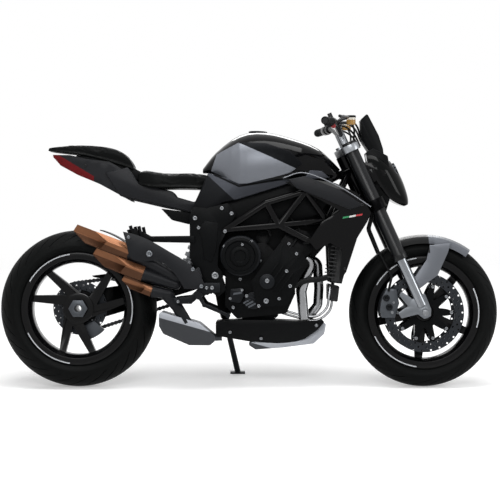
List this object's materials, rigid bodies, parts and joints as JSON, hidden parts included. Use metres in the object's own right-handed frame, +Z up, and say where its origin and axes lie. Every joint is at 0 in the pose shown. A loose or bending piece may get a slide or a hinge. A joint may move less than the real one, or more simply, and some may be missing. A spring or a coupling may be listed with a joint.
{
  "type": "naked middleweight motorcycle",
  "caption": "Naked standard motorcycle with trellis frame, single-sided swingarm and three stacked bronze exhaust tips, parked on its side stand",
  "frame": {"origin": "middle of the overall box, on the ground", "axes": "+X forward, +Y to the rider's left, +Z up; the bike leans left on its stand"},
  "size_m": [2.0195, 0.7963, 1.1175],
  "materials": {
    "gloss_black_paint": "gloss black paint",
    "silver_paint": "silver-grey metallic paint",
    "tail_grey": "satin dark grey paint",
    "black_plastic": "black moulded plastic",
    "cast_black": "black coated cast aluminium",
    "black_wheel": "gloss black coated cast aluminium",
    "bare_aluminium": "satin aluminium",
    "caliper_grey": "anodised aluminium",
    "chrome_rod": "hard chrome",
    "steel": "plated steel",
    "disc_steel": "ground stainless steel",
    "header_steel": "polished stainless steel",
    "exhaust_grey": "grey coated sheet steel",
    "exhaust_bronze": "bronze coated steel",
    "tyre_rubber": "road tyre rubber",
    "black_rubber": "black rubber",
    "seat_cover": "black seat cover",
    "radiator_black": "black finned aluminium",
    "lamp_clear": "clear polycarbonate over a dark bowl",
    "lamp_red": "red lamp plastic",
    "bar_black": "black anodised aluminium",
    "fluid_pot": "translucent reservoir plastic"
  },
  "bodies": {
    "chassis": {"trellis_frame": "gloss_black_paint", "frame_plates": "cast_black", "subframe": "cast_black", "engine_block": "cast_black", "engine_covers": "cast_black", "airbox": "black_plastic", "radiator": "radiator_black", "oil_cooler": "radiator_black", "exhaust_headers": "header_steel", "exhaust_collector": "exhaust_grey", "belly_pan": "black_plastic", "silencer_box": "exhaust_grey", "silencer_shroud": "black_plastic", "exhaust_tips": "exhaust_bronze", "fuel_tank": "gloss_black_paint", "tank_side_panels": "silver_paint", "side_fairings": "gloss_black_paint", "rider_seat": "seat_cover", "passenger_seat": "seat_cover", "tail_fairing": "tail_grey", "tail_light": "lamp_red", "swingarm": "cast_black", "rear_shock": "steel", "chain": "steel", "chain_guard": "black_plastic", "rear_hugger": "black_plastic", "rear_caliper": "caliper_grey", "rider_footrests": "bare_aluminium", "passenger_footrests": "bare_aluminium", "foot_controls": "bare_aluminium"},
    "steering": {"fork_yokes": "bare_aluminium", "fork_outer_tubes": "cast_black", "fork_stanchions": "chrome_rod", "fork_feet": "bare_aluminium", "front_axle": "steel", "front_calipers": "caliper_grey", "front_mudguard": "black_plastic", "headlight_shell": "gloss_black_paint", "headlight_lens": "lamp_clear", "instrument_cowl": "gloss_black_paint", "handlebar": "bar_black", "grips": "black_rubber", "controls": "bar_black", "fluid_reservoirs": "fluid_pot", "brake_hoses": "black_rubber"},
    "front_wheel": {"front_rim": "black_wheel", "front_tyre": "tyre_rubber", "front_discs": "disc_steel"},
    "rear_wheel": {"rear_rim": "black_wheel", "rear_tyre": "tyre_rubber", "rear_disc": "disc_steel", "rear_sprocket": "steel", "rear_axle": "steel"},
    "side_stand": {"side_stand": "steel"}
  },
  "joints": [
    {"name": "steering", "type": "hinge", "parent": "chassis", "child": "steering", "pos_m": [0.47332, -0.03798, 0.73907], "axis": [-0.4144, 0.1109, 0.9033], "range_deg": [-28, 28]},
    {"name": "front_wheel_spin", "type": "hinge", "parent": "steering", "child": "front_wheel", "pos_m": [0.70782, -0.09193, 0.29975], "axis": [0, 0.9925, -0.1219], "continuous": true},
    {"name": "rear_wheel_spin", "type": "hinge", "parent": "chassis", "child": "rear_wheel", "pos_m": [-0.69182, -0.08997, 0.31563], "axis": [0, 0.9925, -0.1219], "continuous": true},
    {"name": "side_stand_swing", "type": "hinge", "parent": "chassis", "child": "side_stand", "pos_m": [-0.10183, 0.06343, 0.26033], "axis": [-0.1316, 0.9912, -0.0103], "range_deg": [0, 109]}
  ]
}
